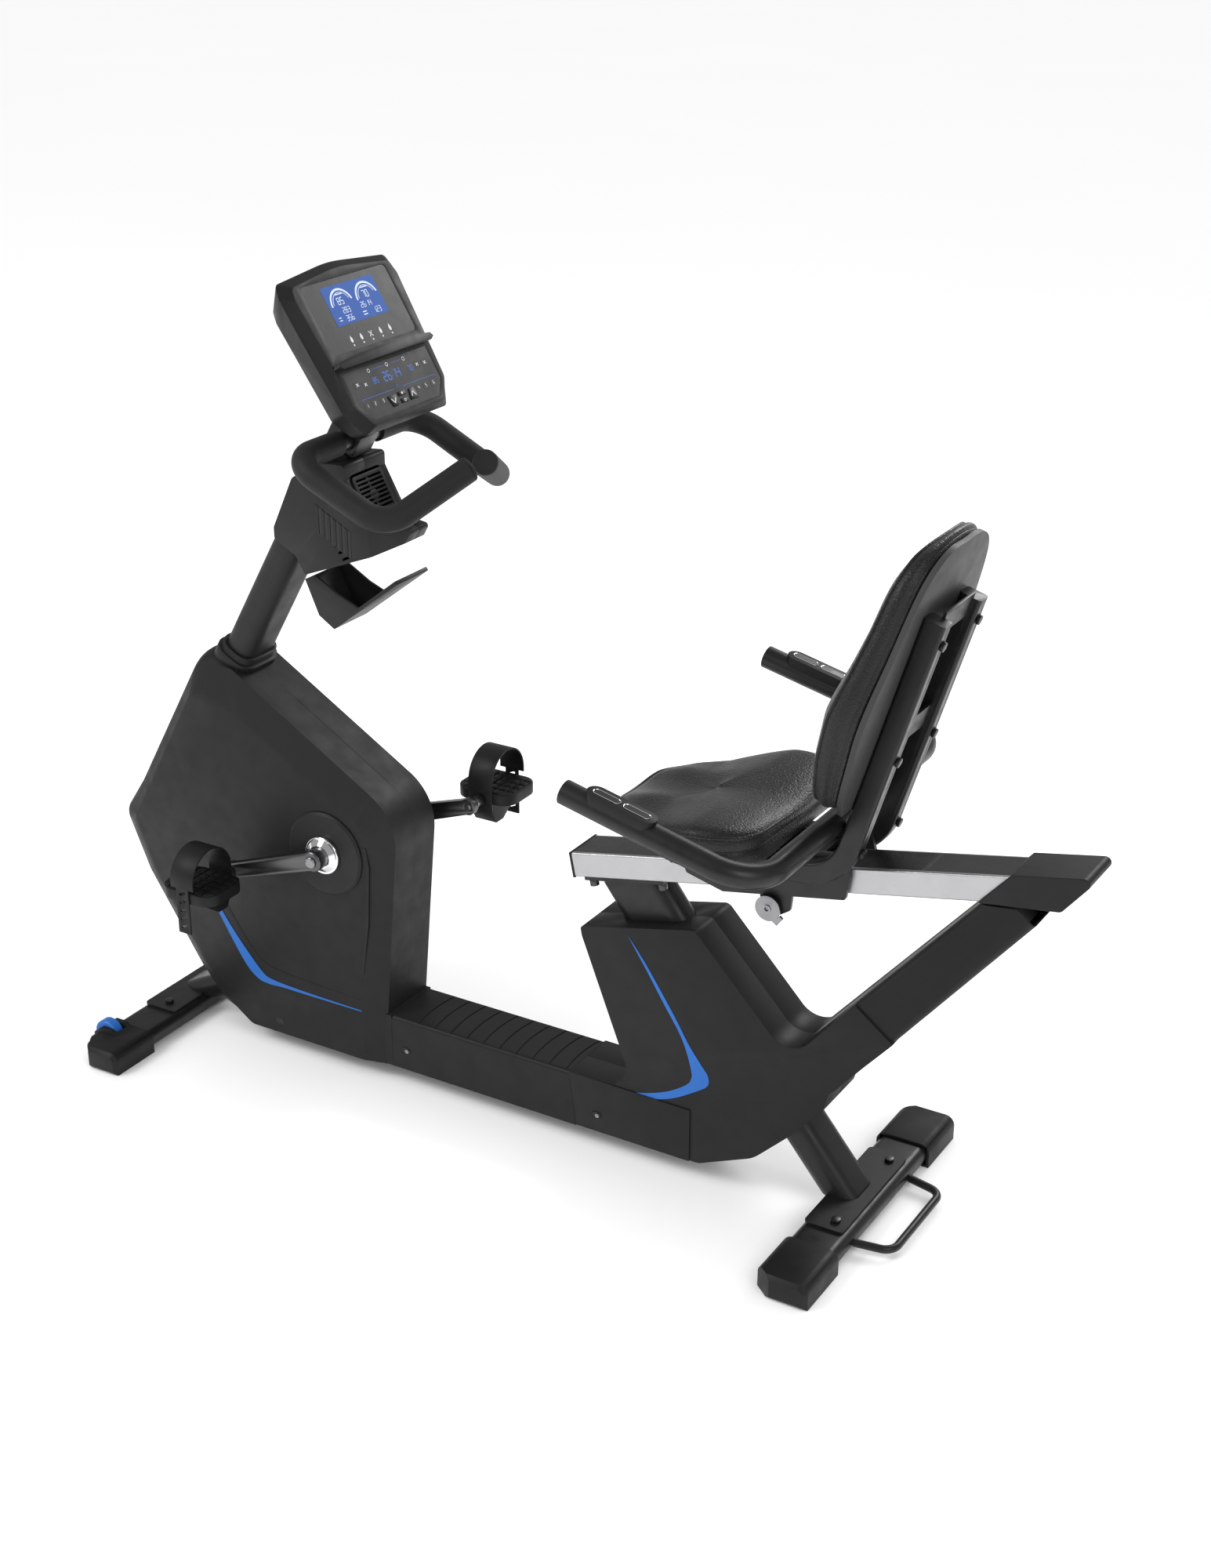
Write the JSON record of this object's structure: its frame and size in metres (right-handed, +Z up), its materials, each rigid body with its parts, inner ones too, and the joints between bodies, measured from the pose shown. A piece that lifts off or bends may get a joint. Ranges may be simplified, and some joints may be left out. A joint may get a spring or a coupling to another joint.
{
  "type": "recumbent exercise bike",
  "caption": "Recumbent exercise bike: belt-driven flywheel in a front shroud, console and bar on a raked mast, low step-through base, and a padded seat that slides on an inclined rail.",
  "frame": {"origin": "on the floor, under the middle of the bike's overall length and width", "axes": "+X to the back of the bike (the rider faces -X), -Y on the side with the exposed left pedal in the picture, +Z up"},
  "size_m": [1.6331, 0.606, 1.2788],
  "materials": {
    "black_steel": "satin powder coat",
    "dark_plastic": "fine textured moulding",
    "blue_plastic": "moulded blue",
    "gloss_black": "polished black",
    "grey_plastic": "textured grey moulding",
    "rail_aluminium": "satin anodised",
    "chrome": "bright plated",
    "bright_steel": "zinc plated",
    "cast_grey": "turned casting",
    "foam_rubber": "matt foam",
    "belt_rubber": "ribbed belt",
    "black_vinyl": "leather-grain vinyl with soft sheen",
    "display_glass": "dark blue window"
  },
  "bodies": {
    "frame": {"main_frame": "black_steel", "front_stabiliser": "black_steel", "rear_stabiliser": "black_steel", "front_end_caps": "dark_plastic", "rear_end_caps": "dark_plastic", "lift_handle": "black_steel", "frame_bolts": "bright_steel", "shroud_left": "dark_plastic", "shroud_right": "dark_plastic", "mast_collar": "dark_plastic", "crank_discs": "dark_plastic", "step_cover": "dark_plastic", "rear_cover_left": "dark_plastic", "rear_cover_right": "dark_plastic", "seat_rail": "rail_aluminium", "rail_top_strip": "gloss_black", "rail_end_caps": "dark_plastic", "drive_belt": "belt_rubber", "bearings": "bright_steel", "brake_magnet": "cast_grey", "brake_motor": "dark_plastic", "console_mast": "black_steel", "handlebar_clamp": "black_steel", "handlebar": "black_steel", "handlebar_grips": "foam_rubber", "mast_housing_left": "dark_plastic", "mast_housing_right": "dark_plastic", "fan_grille": "dark_plastic", "bottle_holder": "dark_plastic", "console_front": "dark_plastic", "console_back": "dark_plastic", "console_panel": "gloss_black", "display_lens": "display_glass"},
    "crankset": {"crank_spindle": "bright_steel", "crank_collars": "chrome", "crank_left": "black_steel", "crank_right": "black_steel", "pedal_axles": "bright_steel", "drive_pulley": "dark_plastic"},
    "pedal_left_body": {"pedal_left": "dark_plastic", "strap_left": "dark_plastic"},
    "pedal_right_body": {"pedal_right": "dark_plastic", "strap_right": "dark_plastic"},
    "flywheel_body": {"flywheel": "cast_grey", "flywheel_shaft": "bright_steel"},
    "wheel_left_body": {"wheel_left": "blue_plastic"},
    "wheel_right_body": {"wheel_right": "blue_plastic"},
    "fan_body": {"fan_rotor": "dark_plastic"},
    "seat": {"seat_frame": "black_steel", "seat_handlebar": "black_steel", "pulse_grips": "dark_plastic", "seat_bolts": "bright_steel", "seat_cushion": "black_vinyl", "back_cushion": "black_vinyl", "back_shell": "grey_plastic"},
    "lever": {"seat_lever": "bright_steel"},
    "down_key": {"key_down": "gloss_black"},
    "up_key": {"key_up": "gloss_black"},
    "stop_key": {"key_stop": "gloss_black"},
    "enter_key": {"key_enter": "gloss_black"}
  },
  "joints": [
    {"name": "crank_spin", "type": "hinge", "parent": "frame", "child": "crankset", "pos_m": [-0.38659, 0, 0.382], "axis": [0, 1, 0], "continuous": true},
    {"name": "pedal_left_spin", "type": "hinge", "parent": "crankset", "child": "pedal_left_body", "pos_m": [-0.54733, -0.172, 0.32665], "axis": [0, 1, 0], "continuous": true},
    {"name": "pedal_right_spin", "type": "hinge", "parent": "crankset", "child": "pedal_right_body", "pos_m": [-0.22585, 0.172, 0.43735], "axis": [0, 1, 0], "continuous": true},
    {"name": "flywheel_spin", "type": "hinge", "parent": "frame", "child": "flywheel_body", "pos_m": [-0.61159, 0, 0.24], "axis": [0, 1, 0], "continuous": true},
    {"name": "wheel_left_spin", "type": "hinge", "parent": "frame", "child": "wheel_left_body", "pos_m": [-0.74359, -0.202, 0.028], "axis": [0, 1, 0], "continuous": true},
    {"name": "wheel_right_spin", "type": "hinge", "parent": "frame", "child": "wheel_right_body", "pos_m": [-0.74359, 0.202, 0.028], "axis": [0, 1, 0], "continuous": true},
    {"name": "fan_spin", "type": "hinge", "parent": "frame", "child": "fan_body", "pos_m": [-0.32481, 0, 0.94516], "axis": [0.8886, 0, 0.4586], "continuous": true},
    {"name": "seat_slide", "type": "slide", "parent": "frame", "child": "seat", "axis": [0.9815, 0, 0.1915], "range_m": [-0.14, 0.16]},
    {"name": "seat_lever_turn", "type": "hinge", "parent": "seat", "child": "lever", "pos_m": [0.36841, 0, 0.479], "axis": [0, 1, 0], "range_deg": [0, 12]},
    {"name": "down_key_press", "type": "slide", "parent": "frame", "child": "down_key", "axis": [0.8521, 0, 0.5234], "range_m": [-0.0008, 0], "stiffness_N_per_m": 600},
    {"name": "up_key_press", "type": "slide", "parent": "frame", "child": "up_key", "axis": [0.8521, 0, 0.5234], "range_m": [-0.0008, 0], "stiffness_N_per_m": 600},
    {"name": "stop_key_press", "type": "slide", "parent": "frame", "child": "stop_key", "axis": [0.8521, 0, 0.5234], "range_m": [-0.0008, 0], "stiffness_N_per_m": 600},
    {"name": "enter_key_press", "type": "slide", "parent": "frame", "child": "enter_key", "axis": [0.8521, 0, 0.5234], "range_m": [-0.0008, 0], "stiffness_N_per_m": 600}
  ],
  "couplings": [
    {"joint": "flywheel_spin", "follows": "crank_spin", "ratio": 4}
  ]
}
